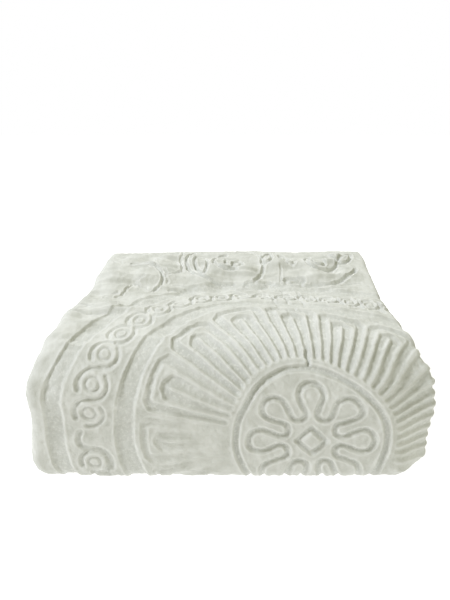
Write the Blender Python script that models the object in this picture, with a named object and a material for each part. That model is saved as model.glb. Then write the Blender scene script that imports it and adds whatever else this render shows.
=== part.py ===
"""A plush blanket, folded in four across its width and then to and fro along its length.

The cloth is drawn flat first: u runs across it, v along it and w through its thickness.
Its show face carries the pressed ornament. Two walks then fold it: one lays the width
into four plies, the other lays that bundle of plies over the top, down the front and
to and fro inside the stack. The part stands on z = 0, and its front faces -Y.
"""

import math
from collections import namedtuple

import bmesh
import bpy
import numpy as np
from mathutils import Vector
from mathutils.geometry import delaunay_2d_cdt

# The cloth and the space that its folds leave
THICKNESS = 0.0092
PLY_GAP = 0.0008
PLIES = 4
PITCH = THICKNESS + PLY_GAP
BUNDLE = (PLIES - 1) * PITCH + THICKNESS
LEVEL_GAP = 0.0014
FRONT_GAP = 0.002

# The folded stack
WIDTH = 0.594
DEPTH = 0.457
HEIGHT = 0.205
SHOULDER = 0.075
TOE = 0.045
FOLD_OUT = BUNDLE + LEVEL_GAP / 2
FOLD_IN = LEVEL_GAP / 2

# How far the third level stops short of the back, and the second level short of the front
BACK_STEP = 0.005
FRONT_STEP = 0.064

# The settled shape: wider at the floor, soft front corners, a lower front edge pressed square
FLARE = 0.030
TAPER = 0.085
CORNER_LEFT = 0.004
CORNER_RIGHT = 0.030
CORNER_REACH = 0.110
TOE_POWER = 4.6
TOE_BULGE = 0.009
TOE_REACH = 0.12
DROOP_RIGHT = 0.020
LIFT_RIGHT = 0.004
# The sides swell between the folds, and move in and out near the top
SIDE_REACH = 0.16
SWELL_BACK = 0.35
HIGH_FROM = 0.73
HIGH_OVER = 0.25

Leg = namedtuple("Leg", "length turn radius steps")
Bump = namedtuple("Bump", "rise at spread")
Press = namedtuple("Press", "width depth")
Ring = namedtuple("Ring", "radius press")
Curl = namedtuple("Curl", "x up radius start end growth")
Leaf = namedtuple("Leaf", "x up length width tilt")
Faint = namedtuple("Faint", "angle share")
Drift = namedtuple("Drift", "angle turn far_turn lobe near far")
Stroke = namedtuple("Stroke", "points widths depths closed")

RIGHT_SWELL = Bump(0.016, 0.116, 0.045)
LEFT_SWELL = Bump(0.010, 0.152, 0.035)
RIGHT_WAIST = Bump(0.012, -0.060, 0.100)
LEFT_WAIST = Bump(0.010, 0.080, 0.150)
BACK_CORNER = Bump(0.012, 0.215, 0.075)

# The medallion's middle on the show face: beside the middle line, and up from the floor
MEDALLION_X = 0.1175
MEDALLION_UP = 0.100
# How wide each kind of pressed line is to either side, and how deep
BAND = Press(0.0130, 0.0034)
GROOVE = Press(0.0036, 0.0038)
FINE = Press(0.0034, 0.0034)
THIN = Press(0.0018, 0.0028)
# The rings round the medallion's middle
RINGS = (Ring(0.1110, GROOVE), Ring(0.2700, BAND), Ring(0.3710, BAND))
# The flower in the middle: round heads, round valleys between them, and a diamond
LOBES = 8
LOBE_REACH = 0.0765
LOBE_HEAD = 0.0185
LOBE_TURN = 113
VALLEY_REACH = 0.0500
VALLEY_RADIUS = 0.0115
VALLEY_TURN = 90
DIAMOND = 0.022
# The rays, in combs of four: an outer pair joined by a bar, and an inner pair within it
COMBS = 16
RAYS_PER_COMB = 4
RAY_START = 0.129
RAY_NARROW = 0.0034
RAY_WIDE = 0.0068
RAY_DEPTH = 0.0036
RAY_POINTS = 3
BAR_WIDTH = 0.0042
BAR_CORNER = 0.006
COMB_INSIDE = 0.2245
COMB_OUTSIDE = 0.2425
# The rays lie nearly flat on the left, where the pile is brushed down, and less so at their ends
FAR_SHARE = 0.55
FAINTS = (
    Faint(0, 0.60), Faint(25, 0.25), Faint(45, 0.0), Faint(145, 0.0), Faint(158, 0.45),
    Faint(180, 0.95), Faint(202, 0.85), Faint(225, 0.60), Faint(330, 0.80),
)
# The running scroll: an eye in each unit, with a hook over it and a hook under it
SCROLLS = 47
SCROLL_START = 172.1
SCROLL_RADIUS = 0.3205
EYE = 0.0092
HOOK = 0.0205
UPPER_HOOK = (200, 68)
LOWER_HOOK = (-105, 30)
# The cloth was pulled, so the rings aren't true circles: turns in degrees, moves as shares
DRIFTS = (
    Drift(0, 0.0, 0.0, -0.060, -0.035, -0.05),
    Drift(25, 2.0, 2.0, 0.0, -0.035, -0.055),
    Drift(45, 3.5, 3.5, -0.020, -0.030, -0.06),
    Drift(68, 4.5, 4.5, 0.0, -0.010, -0.05),
    Drift(90, 3.7, 4.2, -0.010, 0.040, 0.03),
    Drift(105, 2.6, 2.6, 0.0, 0.060, 0.10),
    Drift(118, 1.6, 0.0, 0.0, 0.060, 0.125),
    Drift(133, 0.8, -0.3, 0.0, 0.050, 0.10),
    Drift(148, -0.4, -0.8, 0.0, 0.020, 0.065),
    Drift(180, 0.0, 0.0, -0.035, -0.010, 0.003),
    Drift(202, -2.0, -2.0, 0.0, -0.020, -0.045),
    Drift(240, 0.0, 0.0, 0.0, 0.0, -0.03),
)
DRIFT_RADII = (0.095, 0.1115, 0.260, 0.320)
# Curls and leaves on the field behind the medallion
CURLS = (
    Curl(-0.1315, 0.492, 0.084, 150, 282, 1.14),
    Curl(-0.1315, 0.492, 0.060, 60, -52, 1.75),
    Curl(-0.1195, 0.474, 0.040, 105, 290, 0.85),
    Curl(-0.1100, 0.470, 0.022, 150, 330, 0.80),
    Curl(0.0800, 0.478, 0.034, 130, 420, 1.05),
    Curl(0.0645, 0.480, 0.094, -24, -112, 1.04),
    Curl(-0.3300, 0.400, 0.068, 100, -40, 1.02),
)
LEAVES = (
    Leaf(-0.1835, 0.464, 0.076, 0.026, -82),
    Leaf(-0.0330, 0.500, 0.066, 0.020, 76),
    Leaf(0.0080, 0.492, 0.060, 0.022, 112),
    Leaf(-0.0600, 0.392, 0.060, 0.018, 12),
    Leaf(0.1360, 0.500, 0.056, 0.020, 62),
)
LEAF_POINTS = 7
LEAF_POINTED = 0.45

# Spacing of points along the ornament, and of the plain points between it
STROKE_STEP = 0.013
RING_STEP = 0.018
EYE_STEP = 0.0105
SEED_STEP = 0.028
SEED_CLEARANCE = 0.0055
BORDER_MARGIN = 0.004
# A row this near a run's end, or a crossing this near an end of its piece, isn't added
LINE_CLEARANCE = 0.01
CROSSING_MARGIN = 0.15
TINY = 1e-6
WELD = 1e-5
WELD_DIGITS = 6

# Runs have a length. Turns have an angle in degrees, left positive, and a radius.
# The two free edges of the width end beside the fold on the right.
LEFT_BEND = -(WIDTH / 2 - BUNDLE / 2)
RIGHT_BEND = WIDTH / 2 - THICKNESS / 2 - PITCH / 2
WIDTH_LEGS = (
    Leg(RIGHT_BEND - LEFT_BEND, 0, 0, 0),
    Leg(0, -180, 1.5 * PITCH, 4),
    Leg(RIGHT_BEND - LEFT_BEND, 0, 0, 0),
    Leg(0, -180, 0.5 * PITCH, 4),
    Leg(RIGHT_BEND - LEFT_BEND, 0, 0, 0),
    Leg(0, 180, 0.5 * PITCH, 4),
    Leg(RIGHT_BEND - LEFT_BEND, 0, 0, 0),
)
INNER_RUN = DEPTH - FOLD_OUT - BUNDLE - FRONT_GAP - FOLD_OUT
LENGTH_LEGS = (
    Leg(DEPTH - SHOULDER, 0, 0, 0),
    Leg(0, 90, SHOULDER, 4),
    Leg(HEIGHT - SHOULDER - TOE, 0, 0, 2),
    Leg(0, 90, TOE, 3),
    Leg(DEPTH - TOE - FOLD_OUT, 0, 0, 0),
    Leg(0, 180, FOLD_OUT, 6),
    Leg(INNER_RUN, 0, 0, 0),
    Leg(0, -180, FOLD_IN, 4),
    Leg(INNER_RUN - BACK_STEP, 0, 0, 0),
    Leg(0, 180, FOLD_OUT, 6),
    Leg(DEPTH - FOLD_OUT - BACK_STEP - FRONT_STEP, 0, 0, 0),
)
# The lines across the stack at which every ply has its points, so that plies stay parallel
X_LINES = (-0.10, 0.19)
Y_LINES = (-0.08, 0.02, 0.11)

# The top sinks and swells from front to back, as shares of the height, and less at its sides
TOP_FADE = 0.65
TOP_BUMPS = (
    Bump(0.036, -0.085, 0.060),
    Bump(-0.062, 0.035, 0.058),
    Bump(0.045, 0.170, 0.070),
)


def leg_length(leg):
    return leg.length if leg.turn == 0 else math.radians(abs(leg.turn)) * leg.radius


def leg_start(legs, number):
    """Distance along a walk at which a leg begins."""
    return sum(leg_length(leg) for leg in legs[:number])


def unit(angle):
    return np.stack([np.cos(angle), np.sin(angle)], axis=-1)


def walk(legs, start, heading, distance):
    """Places and headings at the given distances along runs and round turns."""
    distance = np.asarray(distance, float)
    places = np.zeros(distance.shape + (2,))
    headings = np.zeros(distance.shape)
    here = np.array(start, float)
    begun = -math.inf
    passed = 0.0
    for leg in legs:
        on_leg = distance > begun
        gone = (distance[on_leg] - passed)[:, None]
        span = leg_length(leg)
        if leg.turn == 0:
            places[on_leg] = here + gone * unit(heading)
            headings[on_leg] = heading
            here = here + span * unit(heading)
        else:
            side = math.copysign(1, leg.turn)
            centre = here + side * leg.radius * unit(heading + math.pi / 2)
            now = heading + side * gone[:, 0] / leg.radius
            places[on_leg] = centre - side * leg.radius * unit(now + math.pi / 2)
            headings[on_leg] = now
            heading += math.radians(leg.turn)
            here = centre - side * leg.radius * unit(heading + math.pi / 2)
        passed += span
        begun = passed
    return places, headings


def across(u):
    return walk(WIDTH_LEGS, (RIGHT_BEND, -1.5 * PITCH), math.pi, u)


def along(v):
    return walk(LENGTH_LEGS, (DEPTH / 2, HEIGHT), math.pi, v)


def smooth(value):
    value = np.clip(value, 0, 1)
    return value * value * (3 - 2 * value)


def bell(bump, value):
    return bump.rise * np.exp(-((value - bump.at) / bump.spread) ** 2)


def square_toe(y, z):
    """The lower front corner, pressed out by the weight towards a square one."""
    back, up = y + DEPTH / 2 - TOE, z - TOE
    in_corner = (back < 0) & (up < 0)
    reach = np.maximum(np.hypot(back, up), TINY)
    share = (np.abs(back / reach) ** TOE_POWER + np.abs(up / reach) ** TOE_POWER) ** (-1 / TOE_POWER)
    share = np.where(in_corner, share, 1)
    return back * share + TOE - DEPTH / 2, up * share + TOE


def settle(x, y, z):
    """The stack as it slumps: flared foot, swollen sides, uneven top, soft front corners."""
    y, z = square_toe(y, z)
    level = smooth(z / HEIGHT)
    front = smooth(0.5 - y / DEPTH)
    right_side = smooth((x - WIDTH / 2 + SIDE_REACH) / SIDE_REACH)
    left_side = smooth((-x - WIDTH / 2 + SIDE_REACH) / SIDE_REACH)
    right_corner = smooth((x - WIDTH / 2 + CORNER_REACH) / CORNER_REACH)
    left_corner = smooth((-x - WIDTH / 2 + CORNER_REACH) / CORNER_REACH)
    back_off = (CORNER_RIGHT * right_corner + CORNER_LEFT * left_corner) * front
    bulge = TOE_BULGE * front * (1 - smooth(z / TOE_REACH))
    high = smooth((z / HEIGHT - HIGH_FROM) / HIGH_OVER)
    out = right_side * bell(RIGHT_SWELL, z) * (SWELL_BACK + (1 - SWELL_BACK) * front)
    out = out + right_side * (bell(BACK_CORNER, y) - bell(RIGHT_WAIST, y)) * high
    out = out - left_side * (bell(LEFT_SWELL, z) * front - bell(LEFT_WAIST, y) * high)
    top = sum(bell(bump, y) for bump in TOP_BUMPS) * (1 - TOP_FADE * (2 * x / WIDTH) ** 2)
    lift = LIFT_RIGHT * right_side * (1 - front) ** 2
    return np.stack([
        x * (1 + FLARE - TAPER * level) + out,
        y + back_off - bulge,
        z * (1 + (top - DROOP_RIGHT * right_corner * front) * level) + lift * level,
    ], axis=-1)


def fold(u, v, w):
    """World places of the points (u, v, w) of the flat cloth."""
    cross, turn = across(u)
    spine, heading = along(v)
    x = cross[..., 0] - w * np.sin(turn)
    out = cross[..., 1] + w * np.cos(turn) - BUNDLE / 2
    y = spine[..., 0] + out * np.sin(heading)
    z = spine[..., 1] - out * np.cos(heading)
    return settle(x, y, z)


# The show panel is the outer ply with both its side folds, from the back of the top
# to the floor at the front
PANEL_LEFT = leg_start(WIDTH_LEGS, 1)
PANEL_RIGHT = leg_start(WIDTH_LEGS, 4)
PANEL_END = leg_start(LENGTH_LEGS, 4)
MEDALLION_U = leg_start(WIDTH_LEGS, 2) + MEDALLION_X - LEFT_BEND
MEDALLION_V = PANEL_END - MEDALLION_UP


def arc(centre, radius, start, end, growth=1.0, step=STROKE_STEP):
    """Points of an arc in degrees, whose radius may grow along it."""
    count = max(3, round(abs(math.radians(end - start)) * radius / step) + 1)
    radii = radius * np.linspace(1, growth, count)[:, None]
    return np.array(centre) + radii * unit(np.radians(np.linspace(start, end, count)))


def stroke(points, press, end_width=None):
    """An open pressed line, which may widen or narrow towards its end."""
    widths = np.linspace(press.width, end_width or press.width, len(points))
    return Stroke(np.array(points), widths, np.full(len(points), press.depth), False)


def loop(points, press):
    count = len(points)
    return Stroke(np.array(points), np.full(count, press.width), np.full(count, press.depth), True)


def ring(radius, press, centre=(0, 0), step=RING_STEP):
    return loop(arc(centre, radius, 0, 360, step=step)[:-1], press)


def rosette():
    """One outline round eight lobes with round heads and round valleys, and the diamond."""
    points = []
    for number in range(LOBES):
        angle = 360 / LOBES * number
        head = LOBE_REACH * unit(math.radians(angle))
        points.extend(arc(head, LOBE_HEAD, angle - LOBE_TURN, angle + LOBE_TURN))
        between = angle + 180 / LOBES
        valley = VALLEY_REACH * unit(math.radians(between))
        points.extend(arc(valley, VALLEY_RADIUS, between + 180 + VALLEY_TURN, between + 180 - VALLEY_TURN))
    diamond = [DIAMOND * unit(math.radians(corner)) for corner in (0, 90, 180, 270)]
    return [loop(points, FINE), loop(diamond, FINE)]


def comb_stroke(middle, half, end):
    """Out along one ray, round a bar with soft corners, and back along the other ray."""
    out = np.linspace(RAY_START, end - BAR_CORNER, RAY_POINTS)[:, None]
    turn = math.degrees(BAR_CORNER / end)
    bar = arc((0, 0), end, middle - half + turn, middle + half - turn)
    first, second = unit(math.radians(middle - half)), unit(math.radians(middle + half))
    points = np.vstack([out * first, bar, out[::-1] * second])
    ray_widths = np.linspace(RAY_NARROW, RAY_WIDE, RAY_POINTS)
    widths = np.concatenate([ray_widths, np.full(len(bar), BAR_WIDTH), ray_widths[::-1]])
    angles, shares = np.array(FAINTS).T
    reach = (np.hypot(points[:, 0], points[:, 1]) - RAY_START) / (end - RAY_START)
    faint = np.interp(middle, angles, shares, period=360) * (1 - FAR_SHARE * reach)
    return Stroke(points, widths, RAY_DEPTH * (1 - faint), False)


def combs():
    pitch = 360 / COMBS / RAYS_PER_COMB
    strokes = []
    for number in range(COMBS):
        middle = number * 360 / COMBS
        strokes.append(comb_stroke(middle, 0.5 * pitch, COMB_INSIDE))
        strokes.append(comb_stroke(middle, 1.5 * pitch, COMB_OUTSIDE))
    return strokes


def scrolls():
    strokes = []
    for number in range(SCROLLS):
        eye = SCROLL_RADIUS * unit(math.radians(SCROLL_START - number * 360 / SCROLLS))
        strokes.append(ring(EYE, THIN, eye, EYE_STEP))
        strokes.append(stroke(arc(eye, HOOK, *UPPER_HOOK), FINE, THIN.width))
        strokes.append(stroke(arc(eye, HOOK, *LOWER_HOOK), FINE, THIN.width))
    return strokes


def drifted(line):
    """A stroke of the medallion as the pulled cloth shows it."""
    angle = np.degrees(np.arctan2(line.points[:, 1], line.points[:, 0])) % 360
    radius = np.hypot(line.points[:, 0], line.points[:, 1])
    columns = np.array(DRIFTS).T
    moves = [np.interp(angle, columns[0], column, period=360) for column in columns[1:]]
    turn, far_turn, lobe, near, far = moves
    flower_edge, ring_edge, comb_edge, scroll_edge = DRIFT_RADII
    inner = np.clip((radius - flower_edge) / (ring_edge - flower_edge), 0, 1)
    outer = np.clip((radius - ring_edge) / (comb_edge - ring_edge), 0, 1)
    rim = np.clip((radius - comb_edge) / (scroll_edge - comb_edge), 0, 1)
    radius = radius * (1 + lobe * (1 - inner) + near * inner + (far - near) * outer)
    angle = angle + turn * inner + (far_turn - turn) * rim
    return line._replace(points=radius[:, None] * unit(np.radians(angle)))


def leaf(shape):
    """A closed outline, round at its base and pointed at its tip."""
    along_leaf = np.linspace(-1, 1, LEAF_POINTS)
    half = 0.5 * shape.width * np.sqrt(1 - along_leaf**2) * (1 - LEAF_POINTED * along_leaf)
    width = np.concatenate([half, -half[-2:0:-1]])
    length = 0.5 * shape.length * np.concatenate([along_leaf, along_leaf[-2:0:-1]])
    way, side = unit(math.radians(shape.tilt)), unit(math.radians(shape.tilt + 90))
    return np.array((shape.x, shape.up)) + length[:, None] * way + width[:, None] * side


def ornament():
    """Every pressed line of the show face, drawn round the medallion's middle."""
    medallion = [ring(line.radius, line.press) for line in RINGS] + rosette() + combs() + scrolls()
    strokes = [drifted(line) for line in medallion]
    for curl in CURLS:
        points = arc((curl.x, curl.up), curl.radius, curl.start, curl.end, curl.growth)
        strokes.append(stroke(points, FINE))
    return strokes + [loop(leaf(shape), FINE) for shape in LEAVES]


def to_cloth(points):
    """Cloth places (u, v) of points drawn round the medallion, up being towards the back."""
    points = np.asarray(points, float)
    return np.stack([MEDALLION_U + points[..., 0], MEDALLION_V - points[..., 1]], axis=-1)


def inside_panel(points, margin):
    low = np.array([PANEL_LEFT, 0]) + margin
    high = np.array([PANEL_RIGHT, PANEL_END]) - margin
    return np.all((points > low) & (points < high), axis=-1)


def sides(line):
    """The two edges of a stroke, one on each side of its middle line."""
    points = line.points
    if line.closed:
        ahead, behind = np.roll(points, -1, axis=0), np.roll(points, 1, axis=0)
    else:
        ahead = np.vstack([points[1:], 2 * points[-1:] - points[-2:-1]])
        behind = np.vstack([2 * points[:1] - points[1:2], points[:-1]])
    way = ahead - behind
    way /= np.linalg.norm(way, axis=1)[:, None]
    out = np.stack([way[:, 1], -way[:, 0]], axis=1) * line.widths[:, None]
    return points + out, points - out


def press(points, strokes):
    """How far the show face lies below its crowns at each point of the cloth."""
    low = np.zeros(len(points))
    for line in strokes:
        ends = to_cloth(line.points)
        count = len(ends) if line.closed else len(ends) - 1
        for k in range(count):
            n = (k + 1) % len(ends)
            a, b = ends[k], ends[n]
            wide, deep = line.widths[[k, n]], line.depths[[k, n]]
            near = np.all((points > np.minimum(a, b) - wide.max())
                          & (points < np.maximum(a, b) + wide.max()), axis=1)
            if not near.any():
                continue
            way = b - a
            share = np.clip((points[near] - a) @ way / (way @ way), 0, 1)
            gap = np.linalg.norm(points[near] - a - share[:, None] * way, axis=1)
            fall = np.clip(1 - (gap / (wide[0] + share * (wide[1] - wide[0]))) ** 2, 0, None)
            depth = deep[0] + share * (deep[1] - deep[0])
            low[near] = np.maximum(low[near], depth * fall)
    return low


def stations(legs, flow, lines, axis):
    """Distances along a walk at which the plain cloth has its rows of points."""
    found = [0.0]
    for number, leg in enumerate(legs):
        start = leg_start(legs, number)
        end = start + leg_length(leg)
        if leg.steps:
            found.extend(np.linspace(start, end, leg.steps + 1)[1:])
            continue
        here, there = (flow(np.array([spot]))[0][0, axis] for spot in (start + TINY, end))
        inner = [start + abs(line - here) for line in lines
                 if min(here, there) + LINE_CLEARANCE < line < max(here, there) - LINE_CLEARANCE]
        found.extend(sorted(inner) + [end])
    return np.array(found)


def plain_sheet(bm, rows_u, rows_v, w):
    """A flat sheet of quads at one side of the cloth."""
    made = bmesh.ops.create_grid(bm, x_segments=len(rows_u) - 1, y_segments=len(rows_v) - 1, size=1)
    for vert in made["verts"]:
        column = round((vert.co.x + 1) / 2 * (len(rows_u) - 1))
        row = round((vert.co.y + 1) / 2 * (len(rows_v) - 1))
        vert.co = Vector((rows_u[column], rows_v[row], w))


def split_quads(bm):
    """Cut each quad along the diagonal that points the same way in every ply."""
    for face in [face for face in bm.faces if len(face.verts) == 4]:
        centre = face.calc_center_median()
        turn = across(np.array([centre.x]))[1][0]
        heading = along(np.array([centre.y]))[1][0]
        slope = math.copysign(1, math.cos(turn) * math.cos(heading))
        corners = sorted(face.verts, key=lambda vert: vert.co.x + slope * vert.co.y)
        bmesh.utils.face_split(face, corners[0], corners[-1])


def crease_lines():
    """The lines u = and v = at which the panel's triangles must bend with its folds."""
    u = [leg_start(WIDTH_LEGS, number) for number in (1, 2, 3, 4)]
    v = [leg_start(LENGTH_LEGS, number) for number in (1, 2, 3, 4)]
    return (np.concatenate([np.linspace(u[0], u[1], 6)[1:], np.linspace(u[2], u[3], 5)[:-1]]),
            np.concatenate([np.linspace(v[0], v[1], 6), np.linspace(v[2], v[3], 5)[:-1]]))


def crossing_creases(places, creases, closed):
    """The same line with a point wherever it crosses a crease."""
    ends = np.vstack([places, places[:1]]) if closed else places
    result = []
    for a, b in zip(ends[:-1], ends[1:]):
        shares = [0.0]
        for axis, lines in enumerate(creases):
            span = b[axis] - a[axis]
            if abs(span) > TINY:
                crossings = (lines - a[axis]) / span
                inner = (crossings > CROSSING_MARGIN) & (crossings < 1 - CROSSING_MARGIN)
                shares.extend(crossings[inner])
        result.extend(a + share * (b - a) for share in sorted(shares))
    if not closed:
        result.append(ends[-1])
    return np.array(result)


def panel_points(strokes, rows_u, rows_v):
    """Corners of the panel's triangles and the lines that its edges must follow."""
    points = []
    edges = []
    creases = crease_lines()

    def add_run(run, closed):
        first = len(points)
        points.extend(run)
        edges.extend((first + k, first + k + 1) for k in range(len(run) - 1))
        if closed:
            edges.append((first + len(run) - 1, first))

    border_u = [u for u in rows_u if PANEL_LEFT - TINY <= u <= PANEL_RIGHT + TINY]
    border_v = [v for v in rows_v if v <= PANEL_END + TINY]
    add_run([(u, border_v[0]) for u in border_u]
            + [(border_u[-1], v) for v in border_v[1:]]
            + [(u, border_v[-1]) for u in border_u[-2::-1]]
            + [(border_u[0], v) for v in border_v[-2:0:-1]], True)
    for line in strokes:
        for edge in (line.points, *sides(line)):
            places = crossing_creases(to_cloth(edge), creases, line.closed)
            kept = inside_panel(places, BORDER_MARGIN)
            if kept.all():
                add_run([tuple(place) for place in places], line.closed)
                continue
            run = []
            for place, keep in zip(places, kept):
                if keep:
                    run.append(tuple(place))
                elif run:
                    add_run(run, False)
                    run = []
            if run:
                add_run(run, False)
    drawn = np.array(points)
    flat_u = np.arange(leg_start(WIDTH_LEGS, 2) + SEED_STEP, leg_start(WIDTH_LEGS, 3), SEED_STEP)
    flat_v = np.concatenate([
        np.arange(SEED_STEP, leg_start(LENGTH_LEGS, 1), SEED_STEP),
        np.arange(leg_start(LENGTH_LEGS, 2) + SEED_STEP, leg_start(LENGTH_LEGS, 3), SEED_STEP),
    ])
    columns = np.concatenate([creases[0], flat_u])
    rows = np.concatenate([creases[1], flat_v])
    seeds = [(column, row) for row in rows for column in columns]
    seeds += [(column, row) for row in border_v for column in creases[0]]
    for seed in seeds:
        clear = np.abs(drawn - seed).max(axis=1).min()
        if clear > SEED_CLEARANCE and inside_panel(np.array(seed), BORDER_MARGIN):
            points.append(seed)
    return points, edges


def show_panel(bm, rows_u, rows_v):
    """Swap the plain quads of the show panel for triangles that follow the ornament."""
    strokes = ornament()
    plain = [face for face in bm.faces
             if PANEL_LEFT < face.calc_center_median().x < PANEL_RIGHT
             and face.calc_center_median().y < PANEL_END]
    bmesh.ops.delete(bm, geom=plain, context="FACES")
    rim = {(round(vert.co.x, WELD_DIGITS), round(vert.co.y, WELD_DIGITS)): vert for vert in bm.verts}
    points, edges = panel_points(strokes, rows_u, rows_v)
    places, _, faces, *_ = delaunay_2d_cdt([Vector(point) for point in points], edges, [], 0, WELD)
    flat = np.array([tuple(place) for place in places])
    depths = press(flat, strokes)
    verts = []
    for (u, v), depth in zip(flat, depths):
        known = rim.get((round(u, WELD_DIGITS), round(v, WELD_DIGITS)))
        verts.append(known or bm.verts.new((u, v, THICKNESS / 2 - depth)))
    for face in faces:
        bm.faces.new([verts[corner] for corner in face])


def make_cloth():
    """The whole cloth, flat: a show side, a hidden side and the rim between them."""
    rows_u = stations(WIDTH_LEGS, across, X_LINES, 0)
    rows_v = stations(LENGTH_LEGS, along, Y_LINES, 0)
    bm = bmesh.new()
    plain_sheet(bm, rows_u, rows_v, THICKNESS / 2)
    show_panel(bm, rows_u, rows_v)
    plain_sheet(bm, rows_u, rows_v, -THICKNESS / 2)
    rims = [edge for edge in bm.edges if edge.is_boundary]
    bmesh.ops.bridge_loops(bm, edges=rims)
    split_quads(bm)
    return bm


def fold_cloth(bm):
    """Fold the flat cloth and stand the stack over the origin."""
    flat = np.array([tuple(vert.co) for vert in bm.verts])
    folded = fold(flat[:, 0], flat[:, 1], flat[:, 2])
    middle = (folded.min(axis=0) + folded.max(axis=0)) / 2
    folded[:, :2] -= middle[:2]
    for vert, place in zip(bm.verts, folded):
        vert.co = place
    bmesh.ops.recalc_face_normals(bm, faces=bm.faces)
    if bm.calc_volume(signed=True) < 0:
        bmesh.ops.reverse_faces(bm, faces=bm.faces)


def plush_material():
    material = bpy.data.materials.new("ivory plush")
    material.use_nodes = True
    shader = material.node_tree.nodes["Principled BSDF"]
    shader.inputs["Base Color"].default_value = (0.72, 0.74, 0.67, 1)
    shader.inputs["Roughness"].default_value = 0.95
    shader.inputs["Metallic"].default_value = 0.0
    return material


def main():
    for item in list(bpy.data.objects):
        bpy.data.objects.remove(item, do_unlink=True)
    bm = make_cloth()
    fold_cloth(bm)
    mesh = bpy.data.meshes.new("blanket")
    bm.to_mesh(mesh)
    bm.free()
    mesh.materials.append(plush_material())
    blanket = bpy.data.objects.new("blanket", mesh)
    bpy.context.scene.collection.objects.link(blanket)


main()
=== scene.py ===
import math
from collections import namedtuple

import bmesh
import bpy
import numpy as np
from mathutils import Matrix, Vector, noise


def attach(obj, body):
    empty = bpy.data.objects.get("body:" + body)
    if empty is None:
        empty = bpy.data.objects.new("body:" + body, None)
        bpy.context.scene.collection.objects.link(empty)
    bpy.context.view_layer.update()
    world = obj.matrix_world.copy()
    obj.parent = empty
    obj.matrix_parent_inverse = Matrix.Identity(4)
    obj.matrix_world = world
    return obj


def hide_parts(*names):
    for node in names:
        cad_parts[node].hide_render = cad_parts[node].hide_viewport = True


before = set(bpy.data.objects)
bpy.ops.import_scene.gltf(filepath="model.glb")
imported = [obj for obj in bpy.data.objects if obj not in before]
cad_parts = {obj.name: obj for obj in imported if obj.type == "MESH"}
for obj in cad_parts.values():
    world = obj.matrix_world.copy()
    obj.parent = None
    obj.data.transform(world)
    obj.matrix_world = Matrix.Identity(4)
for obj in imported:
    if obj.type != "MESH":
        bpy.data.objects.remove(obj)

# %% [markdown]
# A folded plush blanket
#
# The object is one thick ivory blanket, folded in four across its width and then to and fro
# along its length, so that a round fold faces the camera. Ornament is pressed into its show
# face. This script draws the cloth flat, presses the ornament into it, and folds it last, so
# that every line of the ornament runs over the folds as it does on the real cloth.

NOISE_SEED = 1
noise.seed_set(NOISE_SEED)
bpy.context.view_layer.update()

# %% [markdown]
# The cloth and the stack
#
# A two-ply plush is about 9 mm thick. Four plies lie side by side in a bundle, and the bundle
# makes five levels. The gaps between them are small, because the weight of the stack closes
# them. All sizes are in metres, and everything below is worked out from these few values.

# %% Driving sizes
THICKNESS = 0.0092
PLY_GAP = 0.0008
PITCH = THICKNESS + PLY_GAP
BUNDLE = 3 * PITCH + THICKNESS
LEVEL_GAP = 0.0014
FRONT_GAP = 0.002
WIDTH = 0.594
DEPTH = 0.457
HEIGHT = 0.205
SHOULDER = 0.075
TOE = 0.045
FOLD_OUT = BUNDLE + LEVEL_GAP / 2
FOLD_IN = LEVEL_GAP / 2
BACK_STEP = 0.005
FRONT_STEP = 0.064
TINY = 1e-6
print("bundle of four plies:", round(BUNDLE, 4), "m")

# %% [markdown]
# Folding as a walk
#
# A fold is easy to describe as a walk along the cloth: straight runs, and turns of a known
# angle and radius. One walk lays out the width, in the plane across the stack. The other lays
# out the length, seen from the side. A point of the flat cloth is then carried to the place
# where the two walks put it. The walks keep the length of the cloth, and the settling that
# follows stretches or squeezes it by a few per cent.

# %% The two walks
Leg = namedtuple("Leg", "length turn radius cells")

LEFT_BEND = -(WIDTH / 2 - BUNDLE / 2)
RIGHT_BEND = WIDTH / 2 - THICKNESS / 2 - PITCH / 2
PLY_RUN = RIGHT_BEND - LEFT_BEND
FIRST_PLY = -1.5 * PITCH
WIDTH_LEGS = (
    Leg(PLY_RUN, 0, 0, 9),
    Leg(0, -180, 1.5 * PITCH, 3),
    Leg(PLY_RUN, 0, 0, 36),
    Leg(0, -180, 0.5 * PITCH, 2),
    Leg(PLY_RUN, 0, 0, 9),
    Leg(0, 180, 0.5 * PITCH, 2),
    Leg(PLY_RUN, 0, 0, 9),
)
INNER_RUN = DEPTH - FOLD_OUT - BUNDLE - FRONT_GAP - FOLD_OUT
LENGTH_LEGS = (
    Leg(DEPTH - SHOULDER, 0, 0, 14),
    Leg(0, 90, SHOULDER, 7),
    Leg(HEIGHT - SHOULDER - TOE, 0, 0, 5),
    Leg(0, 90, TOE, 4),
    Leg(DEPTH - TOE - FOLD_OUT, 0, 0, 10),
    Leg(0, 180, FOLD_OUT, 16),
    Leg(INNER_RUN, 0, 0, 7),
    Leg(0, -180, FOLD_IN, 10),
    Leg(INNER_RUN - BACK_STEP, 0, 0, 7),
    Leg(0, 180, FOLD_OUT, 16),
    Leg(DEPTH - FOLD_OUT - BACK_STEP - FRONT_STEP, 0, 0, 8),
)
LEFT_FOLD, SHOW_PLY, RIGHT_FOLD, NEXT_PLY = 1, 2, 3, 4
FOOT_RUN = 4


def leg_length(leg):
    """The length of a straight run, or of the arc of a turn."""
    return leg.length if leg.turn == 0 else math.radians(abs(leg.turn)) * leg.radius


def leg_start(legs, number):
    """How far along the walk a leg begins."""
    return sum(leg_length(leg) for leg in legs[:number])


def unit(angle):
    """The direction, one unit long, at each angle in radians."""
    return np.stack([np.cos(angle), np.sin(angle)], axis=-1)


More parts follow.
